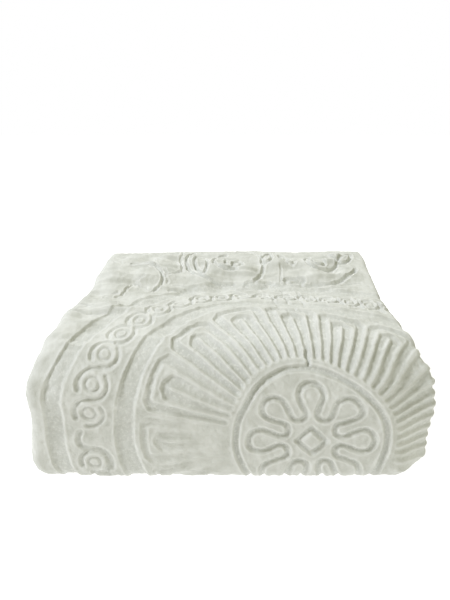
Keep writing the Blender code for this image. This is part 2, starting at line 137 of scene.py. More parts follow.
def walk(legs, start, heading, distance):
    """Places and headings at the given distances along runs and round turns."""
    places = np.zeros(distance.shape + (2,))
    headings = np.zeros(distance.shape)
    here = np.array(start, float)
    begun = -math.inf
    passed = 0.0
    for leg in legs:
        on_leg = distance > begun
        gone = (distance[on_leg] - passed)[:, None]
        if leg.turn == 0:
            places[on_leg] = here + gone * unit(heading)
            headings[on_leg] = heading
            here = here + leg.length * unit(heading)
        else:
            side = math.copysign(1, leg.turn)
            centre = here + side * leg.radius * unit(heading + math.pi / 2)
            now = heading + side * gone[:, 0] / leg.radius
            places[on_leg] = centre - side * leg.radius * unit(now + math.pi / 2)
            headings[on_leg] = now
            heading += math.radians(leg.turn)
            here = centre - side * leg.radius * unit(heading + math.pi / 2)
        passed += leg_length(leg)
        begun = passed
    return places, headings


CLOTH_WIDTH = leg_start(WIDTH_LEGS, len(WIDTH_LEGS))
CLOTH_LENGTH = leg_start(LENGTH_LEGS, len(LENGTH_LEGS))
print("flat cloth:", round(CLOTH_WIDTH, 3), "by", round(CLOTH_LENGTH, 3), "m")

# %% [markdown]
# How the stack settles
#
# A folded blanket isn't a box. Its foot spreads, its sides swell between the folds, its top
# sinks between soft swells, and the lower front edge is pressed nearly square by the weight.
# These are smooth pushes on the whole stack, so the plies stay beside each other. The pushes
# along z fade out at the floor, so the underside stays flat. A slow, seeded unevenness is
# added, because no hand folds cloth true.

# %% Settling the stack
FLARE = 0.030
TAPER = 0.085
CORNER_LEFT = 0.004
CORNER_RIGHT = 0.030
CORNER_FOOT = 0.055
CORNER_TOP = 0.110
TOE_POWER = 4.6
TOE_BULGE = 0.009
TOE_REACH = 0.12
DROOP_RIGHT = 0.020
LIFT_RIGHT = 0.004
FOOT_TUCK = 0.007
FOOT_TUCK_TOP = 0.035
SIDE_REACH = 0.16
TOP_FADE = 0.65
HIGH_FROM = 0.73
HIGH_OVER = 0.25
SWELL_BACK = 0.35
WANDER = 0.0022
WANDER_SIZE = 0.11

Bump = namedtuple("Bump", "rise at spread")
TOP_BUMPS = (Bump(0.036, -0.085, 0.060), Bump(-0.062, 0.035, 0.058), Bump(0.045, 0.170, 0.070))
RIGHT_SWELL = Bump(0.016, 0.116, 0.045)
RIGHT_LEDGE = Bump(0.009, 0.162, 0.020)
LEFT_SWELL = Bump(0.010, 0.152, 0.035)
RIGHT_WAIST = Bump(0.012, -0.060, 0.100)
LEFT_WAIST = Bump(0.010, 0.080, 0.150)
BACK_CORNER = Bump(0.012, 0.215, 0.075)


def smooth(value):
    """A soft step that goes from 0 to 1 as the value does."""
    value = np.clip(value, 0, 1)
    return value * value * (3 - 2 * value)


def bell(bump, value):
    """A soft bump of its own height, place and spread."""
    return bump.rise * np.exp(-((value - bump.at) / bump.spread) ** 2)


def square_toe(y, z):
    """The lower front corner, pressed out by the weight towards a square one."""
    back, up = y + DEPTH / 2 - TOE, z - TOE
    in_corner = (back < 0) & (up < 0)
    reach = np.maximum(np.hypot(back, up), TINY)
    powers = np.abs(back / reach) ** TOE_POWER + np.abs(up / reach) ** TOE_POWER
    share = powers ** (-1 / TOE_POWER)
    share = np.where(in_corner, share, 1)
    return back * share + TOE - DEPTH / 2, up * share + TOE


def settle(x, y, z):
    """Flared foot, swollen sides, uneven top and soft front corners."""
    y, z = square_toe(y, z)
    level = smooth(z / HEIGHT)
    front = smooth(0.5 - y / DEPTH)
    right_side = smooth((x - WIDTH / 2 + SIDE_REACH) / SIDE_REACH)
    left_side = smooth((-x - WIDTH / 2 + SIDE_REACH) / SIDE_REACH)
    reach = CORNER_FOOT + (CORNER_TOP - CORNER_FOOT) * level
    right_corner = smooth((x - WIDTH / 2 + reach) / reach)
    left_corner = smooth((-x - WIDTH / 2 + CORNER_TOP) / CORNER_TOP)
    back_off = (CORNER_RIGHT * right_corner + CORNER_LEFT * left_corner) * front
    bulge = TOE_BULGE * front * (1 - smooth(z / TOE_REACH))
    high = smooth((z / HEIGHT - HIGH_FROM) / HIGH_OVER)
    swell = bell(RIGHT_SWELL, z) + bell(RIGHT_LEDGE, z)
    out = right_side * swell * (SWELL_BACK + (1 - SWELL_BACK) * front)
    out = out + right_side * (bell(BACK_CORNER, y) - bell(RIGHT_WAIST, y)) * high
    out = out - left_side * (bell(LEFT_SWELL, z) * front - bell(LEFT_WAIST, y) * high)
    out = out + left_side * front * FOOT_TUCK * (1 - smooth(z / FOOT_TUCK_TOP))
    top = sum(bell(bump, y) for bump in TOP_BUMPS) * (1 - TOP_FADE * (2 * x / WIDTH) ** 2)
    lift = LIFT_RIGHT * right_side * (1 - front) ** 2
    return np.stack([
        x * (1 + FLARE - TAPER * level) + out,
        y + back_off - bulge,
        z * (1 + (top - DROOP_RIGHT * right_corner * front) * level) + lift * level,
    ], axis=-1)


def wander(places):
    """Push each point a little along a slow noise, and never up or down at the floor."""
    slow = [Vector(place) / WANDER_SIZE for place in places]
    pushes = np.array([tuple(noise.noise_vector(place)) for place in slow])
    pushes[:, 2] *= places[:, 2] / HEIGHT
    return places + WANDER * pushes


def fold(u, v, w):
    """Places of the points (u, v, w) of the flat cloth in the settled stack."""
    cross, turn = walk(WIDTH_LEGS, (RIGHT_BEND, FIRST_PLY), math.pi, u)
    spine, heading = walk(LENGTH_LEGS, (DEPTH / 2, HEIGHT), math.pi, v)
    x = cross[:, 0] - w * np.sin(turn)
    out = cross[:, 1] + w * np.cos(turn) - BUNDLE / 2
    y = spine[:, 0] + out * np.sin(heading)
    z = spine[:, 1] - out * np.cos(heading)
    return wander(settle(x, y, z))


# %% [markdown]
# The flat cloth
#
# The cloth starts as a plain grid, and solidify gives it its two faces and its rim. A grid
# fine enough for the ornament would be far too heavy over the whole cloth, and most of it
# lies hidden inside the stack. So only the show panel is subdivided: the outer ply over the
# top, down the front and round both side folds, with its rim at the back edge.

# %% Rows of the grid
CUTS = 7
HEM = 0.0045


def cell_rows(legs):
    """Distances of the grid's rows along a walk, with an extra row beside each free edge."""
    rows = [0.0, HEM]
    for number, leg in enumerate(legs):
        start = leg_start(legs, number)
        rows.extend(np.linspace(start, start + leg_length(leg), leg.cells + 1)[1:])
    rows.insert(-1, rows[-1] - HEM)
    return np.array(rows)


ROWS_U = cell_rows(WIDTH_LEGS)
ROWS_V = cell_rows(LENGTH_LEGS)
PANEL_LEFT = leg_start(WIDTH_LEGS, LEFT_FOLD)
PANEL_RIGHT = leg_start(WIDTH_LEGS, NEXT_PLY)
PANEL_END = leg_start(LENGTH_LEGS, FOOT_RUN)
print("grid:", len(ROWS_U), "by", len(ROWS_V), "rows")

# %% Grid, thickness and the fine panel
def flat_cloth():
    """A grid with its rows at the wanted places, made into a slab around w = 0."""
    bm = bmesh.new()
    columns, rows = len(ROWS_U) - 1, len(ROWS_V) - 1
    made = bmesh.ops.create_grid(bm, x_segments=columns, y_segments=rows, size=1)
    for vert in made["verts"]:
        column = round((vert.co.x + 1) / 2 * columns)
        row = round((vert.co.y + 1) / 2 * rows)
        vert.co = Vector((ROWS_U[column], ROWS_V[row], 0))
    bmesh.ops.solidify(bm, geom=bm.faces[:], thickness=THICKNESS)
    middle = sum(vert.co.z for vert in bm.verts) / len(bm.verts)
    bmesh.ops.translate(bm, verts=bm.verts, vec=(0, 0, -middle))
    return bm


def in_panel(vert):
    """Whether a point is on the show face of the panel or on its rim at the back."""
    u, v, w = vert.co
    shown = w > 0 or v < TINY
    return shown and PANEL_LEFT - TINY < u < PANEL_RIGHT + TINY and v < PANEL_END + TINY


def refine(bm, chosen, cuts):
    """Cut each edge between two chosen points, and fill the faces with a grid."""
    edges = [edge for edge in bm.edges if all(chosen(vert) for vert in edge.verts)]
    bmesh.ops.subdivide_edges(bm, edges=edges, cuts=cuts, use_grid_fill=True)


cloth_bm = flat_cloth()
refine(cloth_bm, in_panel, CUTS)
cloth_mesh = bpy.data.meshes.new("blanket_cloth")
cloth_bm.to_mesh(cloth_mesh)
cloth_bm.free()
print("flat cloth has", len(cloth_mesh.vertices), "points")

# %% [markdown]
# The ornament
#
# The ornament is a round medallion with its middle near the lower right of the front, and
# flowers on the field beyond it. On the real cloth a heated roller presses the pile down, so
# every line is a groove with a flat floor and steep walls, and the cloth between the grooves
# stands up like a cushion. Each groove is drawn as a stroke: points, with a half width and a
# depth at each point.

# %% Strokes
Press = namedtuple("Press", "width depth")
Ring = namedtuple("Ring", "radius press")
Stroke = namedtuple("Stroke", "points widths depths closed")

MEDALLION_X = 0.1175
MEDALLION_UP = 0.100
MEDALLION_U = leg_start(WIDTH_LEGS, SHOW_PLY) + MEDALLION_X - LEFT_BEND
MEDALLION_V = PANEL_END - MEDALLION_UP
FINE = Press(0.0034, 0.0034)
THIN = Press(0.0018, 0.0028)
CURL = Press(0.0023, 0.0055)
STEP = 0.003


def arc(centre, radius, start, end, growth=1.0):
    """Points of an arc in degrees, whose radius may grow along it."""
    count = max(3, round(abs(math.radians(end - start)) * radius / STEP) + 1)
    radii = radius * np.linspace(1, growth, count)[:, None]
    return np.array(centre) + radii * unit(np.radians(np.linspace(start, end, count)))


def stroke(points, press, end_width=None):
    """An open groove, which may widen towards its end."""
    widths = np.linspace(press.width, end_width or press.width, len(points))
    return Stroke(np.array(points), widths, np.full(len(points), press.depth), False)


def loop(points, press):
    """A groove that closes on itself."""
    count = len(points)
    return Stroke(np.array(points), np.full(count, press.width), np.full(count, press.depth), True)


def ring(radius, press, centre=(0, 0)):
    """A round groove."""
    return loop(arc(centre, radius, 0, 360)[:-1], press)


# %% Flat rings and the flower in the middle
RINGS = (
    Ring(0.1110, Press(0.0036, 0.0038)),
    Ring(0.2700, Press(0.0130, 0.0029)),
    Ring(0.3710, Press(0.0125, 0.0029)),
)
LOBES = 8
LOBE_REACH = 0.0765
LOBE_HEAD = 0.0185
LOBE_TURN = 113
VALLEY_REACH = 0.0500
VALLEY_RADIUS = 0.0115
VALLEY_TURN = 90
DIAMOND = 0.022


def rosette():
    """One outline round eight lobes with round heads and round valleys, and a diamond."""
    points = []
    for number in range(LOBES):
        angle = 360 / LOBES * number
        head = LOBE_REACH * unit(math.radians(angle))
        points.extend(arc(head, LOBE_HEAD, angle - LOBE_TURN, angle + LOBE_TURN))
        between = angle + 180 / LOBES
        valley = VALLEY_REACH * unit(math.radians(between))
        inward = between + 180
        points.extend(arc(valley, VALLEY_RADIUS, inward + VALLEY_TURN, inward - VALLEY_TURN))
    diamond = [DIAMOND * unit(math.radians(corner)) for corner in (0, 90, 180, 270)]
    return [loop(points, FINE), loop(diamond, FINE)]


# %% [markdown]
# Rays in combs of four
#
# Round the flower run rays, in combs. An outer pair of rays is joined by a bar with soft
# corners, and an inner, shorter pair stands within it. On the left and below, the pile is
# brushed down and the rays nearly vanish, more so near the flower. A short table gives the
# share of the depth that is lost at each angle.

# %% Combs of rays
COMBS = 16
RAYS_PER_COMB = 4
INNER_PAIR = 0.5
OUTER_PAIR = 1.5
RAY_START = 0.1290
RAY_NARROW = 0.0034
RAY_WIDE = 0.0068
COMB_INSIDE = 0.2245
COMB_OUTSIDE = 0.2425
RAY_DEPTH = 0.0036
RAY_POINTS = 12
BAR_WIDTH = 0.0042
CORNER = 0.0080
FAR_SHARE = 0.55
Faint = namedtuple("Faint", "angle share")
FAINTS = (
    Faint(0, 0.60), Faint(25, 0.32), Faint(45, 0.22), Faint(80, 0.0), Faint(145, 0.0),
    Faint(158, 0.45), Faint(180, 0.95), Faint(202, 0.85), Faint(225, 0.60), Faint(330, 0.80),
)


def comb_stroke(middle, half, end):
    """Out along one ray, round a bar with soft corners, and back along the other ray."""
    out = np.linspace(RAY_START, end - CORNER, RAY_POINTS)[:, None]
    turn = math.degrees(CORNER / end)
    bar = arc((0, 0), end, middle - half + turn, middle + half - turn)
    first, second = unit(math.radians(middle - half)), unit(math.radians(middle + half))
    points = np.vstack([out * first, bar, out[::-1] * second])
    ray_widths = np.linspace(RAY_NARROW, RAY_WIDE, RAY_POINTS)
    widths = np.concatenate([ray_widths, np.full(len(bar), BAR_WIDTH), ray_widths[::-1]])
    angles, shares = np.array(FAINTS).T
    reach = (np.hypot(points[:, 0], points[:, 1]) - RAY_START) / (end - RAY_START)
    faint = np.interp(middle, angles, shares, period=360) * (1 - FAR_SHARE * reach)
    return Stroke(points, widths, RAY_DEPTH * (1 - faint), False)


def combs():
    """Each comb is two nested strokes, the inner pair of rays and the outer pair around it."""
    pitch = 360 / COMBS / RAYS_PER_COMB
    strokes = []
    for number in range(COMBS):
        middle = number * 360 / COMBS
        strokes.append(comb_stroke(middle, INNER_PAIR * pitch, COMB_INSIDE))
        strokes.append(comb_stroke(middle, OUTER_PAIR * pitch, COMB_OUTSIDE))
    return strokes


# %% The running scroll
SCROLLS = 47
SCROLL_START = 172.1
SCROLL_RADIUS = 0.3205
EYE = 0.0092
HOOK = 0.0205
UPPER_HOOK = (200, 68)
LOWER_HOOK = (-105, 30)
LINK = 0.0180
LINK_OUT = HOOK + LINK / 4
LINK_END = (140, 265)
LINK_START = (84, -20)
FRONT_SHARE = 0.78
TOP_SHARE = 1.05
TOP_POWER = 4


def scrolls():
    """Eyes with a hook over and under each, deeper on the top, and a plain link at the end."""
    strokes = []
    for number in range(SCROLLS):
        angle = math.radians(SCROLL_START - number * 360 / SCROLLS)
        eye = SCROLL_RADIUS * unit(angle)
        share = FRONT_SHARE + TOP_SHARE * max(0, math.sin(angle)) ** TOP_POWER
        hook = FINE._replace(depth=FINE.depth * share)
        if number == SCROLLS - 1:
            strokes.append(stroke(arc(eye, LINK, *LINK_END), hook))
            strokes.append(stroke(arc(before, LINK_OUT, *LINK_START), hook))
            break
        strokes.append(ring(EYE, THIN._replace(depth=THIN.depth * share), eye))
        strokes.append(stroke(arc(eye, HOOK, *UPPER_HOOK), hook, THIN.width))
        strokes.append(stroke(arc(eye, HOOK, *LOWER_HOOK), hook, THIN.width))
        before = eye
    return strokes


# %% [markdown]
# How the cloth was pulled
#
# Plush gives, and the folded cloth was pulled by hand, so the rings on the real blanket are
# not quite true circles. At each angle round the medallion, a table says how far the ornament
# has turned, at the rays and at the scroll, in degrees. It also says how much further out it
# has moved, as a share of the radius: the flower's lobes, the ring round them, and the rest.

# %% Drift of the ornament
Drift = namedtuple("Drift", "angle turn far_turn lobe near far")
DRIFTS = (
    Drift(0, 0.0, 0.0, -0.060, -0.035, -0.05),
    Drift(25, 2.0, 2.0, 0.0, -0.035, -0.055),
    Drift(45, 3.5, 3.5, -0.020, -0.030, -0.06),
    Drift(68, 4.5, 4.5, 0.0, -0.010, -0.05),
    Drift(90, 3.7, 4.2, -0.010, 0.040, 0.03),
    Drift(105, 2.6, 2.6, 0.0, 0.060, 0.10),
    Drift(118, 1.6, 0.0, 0.0, 0.060, 0.125),
    Drift(133, 0.8, -0.3, 0.0, 0.050, 0.10),
    Drift(148, -0.4, -0.8, 0.0, 0.020, 0.065),
    Drift(180, 0.0, 0.0, -0.035, -0.010, 0.003),
    Drift(202, -2.0, -2.0, 0.0, -0.020, -0.045),
    Drift(240, 0.0, 0.0, 0.0, 0.0, -0.03),
)
DRIFT_RADII = (0.095, 0.1115, 0.260, 0.320)


def drifted(line):
    """A stroke of the medallion as the pulled cloth shows it."""
    angle = np.degrees(np.arctan2(line.points[:, 1], line.points[:, 0])) % 360
    radius = np.hypot(line.points[:, 0], line.points[:, 1])
    columns = np.array(DRIFTS).T
    moves = [np.interp(angle, columns[0], column, period=360) for column in columns[1:]]
    turn, far_turn, lobe, near, far = moves
    flower_edge, ring_edge, comb_edge, scroll_edge = DRIFT_RADII
    inner = np.clip((radius - flower_edge) / (ring_edge - flower_edge), 0, 1)
    outer = np.clip((radius - ring_edge) / (comb_edge - ring_edge), 0, 1)
    rim = np.clip((radius - comb_edge) / (scroll_edge - comb_edge), 0, 1)
    radius = radius * (1 + lobe * (1 - inner) + near * inner + (far - near) * outer)
    angle = angle + turn * inner + (far_turn - turn) * rim
    return line._replace(points=radius[:, None] * unit(np.radians(angle)))


# %% Flowers on the field
Curl = namedtuple("Curl", "x up radius start end growth")
Leaf = namedtuple("Leaf", "x up length width tilt")
CURLS = (
    Curl(-0.1315, 0.492, 0.084, 150, 282, 1.14),
    Curl(-0.1315, 0.492, 0.060, 60, -52, 1.75),
    Curl(-0.1195, 0.474, 0.040, 105, 290, 0.85),
    Curl(-0.1100, 0.470, 0.022, 150, 330, 0.80),
    Curl(0.0800, 0.478, 0.034, 130, 420, 1.05),
    Curl(0.0760, 0.474, 0.015, 190, 430, 0.80),
    Curl(0.0645, 0.480, 0.094, -24, -112, 1.04),
    Curl(-0.3300, 0.400, 0.068, 100, -40, 1.02),
)
LEAVES = (
    Leaf(-0.1835, 0.464, 0.076, 0.026, -82),
    Leaf(0.0145, 0.401, 0.042, 0.013, 2),
    Leaf(-0.0330, 0.500, 0.066, 0.020, 76),
    Leaf(0.0080, 0.492, 0.060, 0.022, 112),
    Leaf(-0.0600, 0.392, 0.060, 0.018, 12),
    Leaf(0.1360, 0.500, 0.056, 0.020, 62),
)
Dome = namedtuple("Dome", "x up radius rise")
DOMES = (
    Dome(-0.365, 0.412, 0.046, 0.0095),
    Dome(-0.296, 0.418, 0.034, 0.0060),
    Dome(-0.324, 0.392, 0.017, -0.0060),
    Dome(-0.385, 0.325, 0.020, -0.0045),
    Dome(-0.376, 0.224, 0.016, -0.0035),
    Dome(-0.400, 0.152, 0.018, -0.0040),
    Dome(-0.394, 0.115, 0.020, -0.0060),
    Dome(-0.384, 0.082, 0.016, -0.0040),
    Dome(-0.110, 0.472, 0.036, 0.0050),
    Dome(-0.150, 0.430, 0.030, 0.0040),
    Dome(-0.055, 0.440, 0.022, -0.0045),
    Dome(-0.090, 0.402, 0.028, -0.0040),
    Dome(-0.012, 0.470, 0.030, 0.0040),
    Dome(0.079, 0.478, 0.036, 0.0050),
    Dome(0.070, 0.425, 0.030, 0.0035),
    Dome(0.000, 0.000, 0.016, 0.0030),
)
BUD = 0.0115
BUD_AT = (-0.1035, 0.466)
LEAF_POINTS = 14
LEAF_POINTED = 0.45
ALONG_SHARE = 0.8


def leaf(shape):
    """A closed outline, round at its base and pointed at its tip."""
    along = np.linspace(-1, 1, LEAF_POINTS)
    half = 0.5 * shape.width * np.sqrt(1 - along**2) * (1 - LEAF_POINTED * along)
    across = np.concatenate([half, -half[-2:0:-1]])
    length = 0.5 * shape.length * np.concatenate([along, along[-2:0:-1]])
    way, side = unit(math.radians(shape.tilt)), unit(math.radians(shape.tilt + 90))
    return np.array((shape.x, shape.up)) + length[:, None] * way + across[:, None] * side


def wider_along(line):
    """The same line, wider where it runs along the back edge."""
    way = np.gradient(line.points, axis=0)
    along = np.abs(way[:, 0]) / np.hypot(way[:, 0], way[:, 1])
    return line._replace(widths=line.widths * (1 + ALONG_SHARE * along))


def field():
    """The curls, the leaves and the bud beyond the medallion."""
    strokes = [ring(BUD, CURL, BUD_AT)]
    for curl in CURLS:
        points = arc((curl.x, curl.up), curl.radius, curl.start, curl.end, curl.growth)
        strokes.append(stroke(points, CURL))
    strokes.extend(loop(leaf(shape), CURL) for shape in LEAVES)
    return [wider_along(line) for line in strokes]


ORNAMENT = [ring(line.radius, line.press) for line in RINGS] + rosette() + combs() + scrolls()
ORNAMENT = [drifted(line) for line in ORNAMENT] + field()
print("strokes:", len(ORNAMENT))

# %% [markdown]
# Pressing the ornament
#
# The fine panel is a regular lattice, so the relief is worked out on an array with one value
# for each lattice point. A stroke touches only the few rows near it, which keeps this fast.
# The wall of a groove takes a few millimetres, because pile has no sharp edges. Beside it the
# pile that was pushed aside makes a low lip, and further out the cloth rises slowly, which
# makes it look stuffed. The lattice is looked at through a slow wobble, so that no line is
# ruler straight. Each noise over the lattice is read from its own layer, so no two are alike.

# %% The lattice
WOBBLE = 0.0014
WOBBLE_SIZE = (0.030, 0.030)
WOBBLE_LAYER = 1.5


def fine_rows(rows, low, high):
    """The rows of the lattice between two rows of the coarse grid."""
    chosen = rows[(rows > low - TINY) & (rows < high + TINY)]
    places = np.arange((len(chosen) - 1) * (CUTS + 1) + 1) / (CUTS + 1)
    return np.interp(places, np.arange(len(chosen)), chosen)


FINE_U = fine_rows(ROWS_U, PANEL_LEFT, PANEL_RIGHT)
FINE_V = fine_rows(ROWS_V, 0, PANEL_END)


def lattice_noise(size, layer):
    """A smooth noise vector for each lattice point, with its own size along u and v."""
    places = [Vector((u / size[0], v / size[1], layer)) for u in FINE_U for v in FINE_V]
    values = [tuple(noise.noise_vector(place)) for place in places]
    return np.array(values).reshape(len(FINE_U), len(FINE_V), 3)


WOBBLES = lattice_noise(WOBBLE_SIZE, WOBBLE_LAYER) * WOBBLE
SEEN_U = FINE_U[:, None] + WOBBLES[..., 0]
SEEN_V = FINE_V[None, :] + WOBBLES[..., 1]
print("lattice:", SEEN_U.shape)

# %% The relief
WALL = 0.0030
PUFF_SHARE = 0.10
PUFF_REACH = 0.0075
PUFF_END = 2.2
LIP_RISE = 0.28
LIP_AT = 0.0030
LIP_WIDE = 0.0018
LIP_FREE = 0.0020


def press_line(low, lips, a, b, wide, deep):
    """Press one straight piece of a stroke into the depths, and note the lips beside it."""
    reach = max(wide) + PUFF_END * PUFF_REACH
    i0, i1 = np.searchsorted(FINE_U, (min(a[0], b[0]) - reach, max(a[0], b[0]) + reach))
    j0, j1 = np.searchsorted(FINE_V, (min(a[1], b[1]) - reach, max(a[1], b[1]) + reach))
    if i0 == i1 or j0 == j1:
        return
    u, v = SEEN_U[i0:i1, j0:j1] - a[0], SEEN_V[i0:i1, j0:j1] - a[1]
    way = b - a
    share = np.clip((u * way[0] + v * way[1]) / (way @ way), 0, 1)
    half_width = wide[0] + share * (wide[1] - wide[0])
    outside = np.hypot(u - share * way[0], v - share * way[1]) - half_width
    depth = deep[0] + share * (deep[1] - deep[0])
    floor = smooth(0.5 - outside / WALL)
    puff = np.exp(-((np.maximum(outside, 0) / PUFF_REACH) ** 2))
    lip = np.exp(-(((outside - LIP_AT) / LIP_WIDE) ** 2))
    pressed = depth * ((1 - PUFF_SHARE) * floor + PUFF_SHARE * puff)
    low[i0:i1, j0:j1] = np.maximum(low[i0:i1, j0:j1], pressed)
    lips[i0:i1, j0:j1] = np.maximum(lips[i0:i1, j0:j1], depth * lip)


def relief(strokes):
    """How deep some strokes press each lattice point. A lip stands proud, so its depth is negative."""
    low, lips = np.zeros(SEEN_U.shape), np.zeros(SEEN_U.shape)
    for line in strokes:
        across, up = line.points.T
        places = np.stack([MEDALLION_U + across, MEDALLION_V - up], axis=1)
        count = len(places) if line.closed else len(places) - 1
        for k in range(count):
            n = (k + 1) % len(places)
            press_line(low, lips, places[k], places[n], line.widths[[k, n]], line.depths[[k, n]])
    return low - LIP_RISE * lips * smooth(1 - low / LIP_FREE)


LOW = relief(ORNAMENT)
print("deepest press:", round(LOW.max() * 1000, 2), "mm")

# %% [markdown]
# Creases and unevenness
#
# Where the cloth goes over the shoulder it is gathered a little, so creases run along the
# top, and one runs down from the back edge to the medallion. The top lies loose in low waves
# and lumps, which die out towards the side folds. The pile is uneven everywhere. Low domes
# lift the flowers, and shallow dents pull the left edge in, as a fold does when it is thick.
# In a few places on the top, waves, lumps and grooves add up to more than the ply is thick,
# and there the show face dips into the ply below it.

# %% Creases
Crease = namedtuple("Crease", "x up end_x end_up width depth")
CREASES = (
    Crease(-0.010, 0.455, -0.017, 0.345, 0.0014, 0.0022),
    Crease(-0.017, 0.345, -0.006, 0.250, 0.0014, 0.0026),
    Crease(-0.003, 0.150, -0.003, 0.118, 0.0018, 0.0036),
    Crease(-0.040, 0.350, -0.034, 0.262, 0.0016, 0.0026),
    Crease(0.014, 0.352, 0.012, 0.270, 0.0016, 0.0026),
    Crease(-0.234, 0.545, -0.226, 0.444, 0.0016, 0.0030),
    Crease(-0.222, 0.440, -0.252, 0.421, 0.0016, 0.0030),
    Crease(-0.326, 0.384, -0.334, 0.343, 0.0016, 0.0030),
    Crease(-0.334, 0.343, -0.346, 0.314, 0.0016, 0.0028),
    Crease(-0.346, 0.314, -0.372, 0.305, 0.0014, 0.0024),
    Crease(-0.344, 0.348, -0.368, 0.326, 0.0014, 0.0022),
    Crease(-0.322, 0.394, -0.300, 0.404, 0.0014, 0.0024),
    Crease(-0.318, 0.388, -0.288, 0.371, 0.0014, 0.0024),
    Crease(-0.296, 0.476, -0.258, 0.432, 0.0014, 0.0020),
    Crease(-0.258, 0.432, -0.250, 0.391, 0.0014, 0.0020),
    Crease(-0.402, 0.285, -0.346, 0.279, 0.0016, 0.0030),
    Crease(-0.402, 0.268, -0.330, 0.292, 0.0014, 0.0028),
    Crease(-0.402, 0.248, -0.335, 0.246, 0.0014, 0.0026),
    Crease(-0.400, 0.511, -0.366, 0.517, 0.0014, 0.0024),
    Crease(-0.396, 0.490, -0.368, 0.472, 0.0014, 0.0024),
    Crease(-0.242, 0.365, -0.192, 0.377, 0.0014, 0.0028),
    Crease(-0.192, 0.377, -0.130, 0.386, 0.0014, 0.0028),
    Crease(-0.235, 0.384, -0.180, 0.378, 0.0012, 0.0024),
    Crease(-0.086, 0.401, -0.034, 0.404, 0.0016, 0.0032),
    Crease(-0.034, 0.404, -0.016, 0.366, 0.0016, 0.0032),
    Crease(-0.130, 0.376, -0.060, 0.370, 0.0014, 0.0026),
    Crease(0.050, 0.392, 0.150, 0.378, 0.0014, 0.0024),
    Crease(0.070, 0.366, 0.165, 0.356, 0.0014, 0.0024),
)
CREASE_SHARE = 1.35
CREASE_BEND = 0.002
CREASE_WAVES = 3
CREASE_POINTS = 9
STREAK = 0.0048
STREAK_SIZE = (0.085, 0.0105)
STREAK_LAYER = 7.5
LUMP = 0.0092
LUMP_SIZE = (0.048, 0.036)
LUMP_LAYER = 11.5
GRAIN = 0.0009
GRAIN_SIZE = (0.0075, 0.0075)
GRAIN_LAYER = 3.5
DOME_EDGE = 1.5
FADE = 0.05
EDGE_FADE = 0.06
FIELD_RADIUS = 0.36
RING_SHARE = 0.4
TOP_LENGTH = DEPTH - SHOULDER

for crease in CREASES:
    start, end = np.array((crease.x, crease.up)), np.array((crease.end_x, crease.end_up))
    share = np.linspace(0, 1, CREASE_POINTS)[:, None]
    points = start + share * (end - start) + CREASE_BEND * np.sin(CREASE_WAVES * math.pi * share)
    folds = relief([stroke(points, Press(crease.width, CREASE_SHARE * crease.depth))])
    LOW = np.where(np.abs(folds) > np.abs(LOW), folds, LOW)

on_top = smooth(FINE_V / FADE) * smooth((TOP_LENGTH + FADE - FINE_V) / FADE)
far_out = smooth((np.hypot(SEEN_U - MEDALLION_U, SEEN_V - MEDALLION_V) - FIELD_RADIUS) / FADE)
from_side = np.minimum(leg_start(WIDTH_LEGS, RIGHT_FOLD) - FINE_U, FINE_U - PANEL_LEFT)
off_edge = smooth(from_side / EDGE_FADE)
loose = on_top[None, :] * off_edge[:, None] * (RING_SHARE + (1 - RING_SHARE) * far_out)
streaks = lattice_noise(STREAK_SIZE, STREAK_LAYER)[..., 0] * loose
lumps = lattice_noise(LUMP_SIZE, LUMP_LAYER)[..., 0] * loose
grain = lattice_noise(GRAIN_SIZE, GRAIN_LAYER)[..., 0]
UNEVEN = STREAK * streaks + LUMP * lumps + GRAIN * grain
for dome in DOMES:
    gap = np.hypot(SEEN_U - MEDALLION_U - dome.x, MEDALLION_V - SEEN_V - dome.up) / dome.radius
    UNEVEN = UNEVEN - dome.rise * np.exp(-DOME_EDGE * gap**2)
print("unevenness up to", round(np.abs(UNEVEN).max() * 1000, 2), "mm")

# %% [markdown]
# Folding the mesh
#
# Now each point of the flat mesh is moved: down by its share of the relief, which fades over
# the rim, then in at the free edges, where the hem is thin and round, and last into the
# folded stack. The flat place is kept as a UV map, and the relief as an attribute that the
# finish reads.

# %% Relief, hem and fold
OFF_FLOOR = 0.045
PRESS_FADE = 0.030
PRESS_END = 0.015
HEM_SHARE = 0.55
points = np.empty(len(cloth_mesh.vertices) * 3)
cloth_mesh.vertices.foreach_get("co", points)
flat = points.reshape(-1, 3)
U, V, W = flat.T.copy()
on_panel = (W > TINY) & (V < PANEL_END + TINY)
on_panel &= (U > PANEL_LEFT - TINY) & (U < PANEL_RIGHT + TINY)
column = np.rint(np.interp(U, FINE_U, np.arange(len(FINE_U)))).astype(int)
row = np.rint(np.interp(V, FINE_V, np.arange(len(FINE_V)))).astype(int)
off_floor = smooth((PANEL_END - V) / OFF_FLOOR)
fading = smooth((PANEL_END - PRESS_END - V) / PRESS_FADE)
pressed = np.where(on_panel, LOW[column, row], 0) * fading
depth = np.where(on_panel, pressed + UNEVEN[column, row] * off_floor, 0)
edge = np.minimum(np.minimum(U, CLOTH_WIDTH - U), np.minimum(V, CLOTH_LENGTH - V))
thin = HEM_SHARE + (1 - HEM_SHARE) * np.sqrt(1 - (1 - np.clip(edge / HEM, 0, 1)) ** 2)
outer = np.clip(2 * W / THICKNESS, 0, 1)
folded = fold(U, V, W * thin - depth * outer)
middle = (folded.min(axis=0) + folded.max(axis=0)) / 2
shift = np.array([middle[0], middle[1], folded[:, 2].min()])
folded -= shift
cloth_mesh.vertices.foreach_set("co", folded.ravel())
cloth_mesh.update()
print("stack:", [round(value, 4) for value in (*folded.min(axis=0), *folded.max(axis=0))])

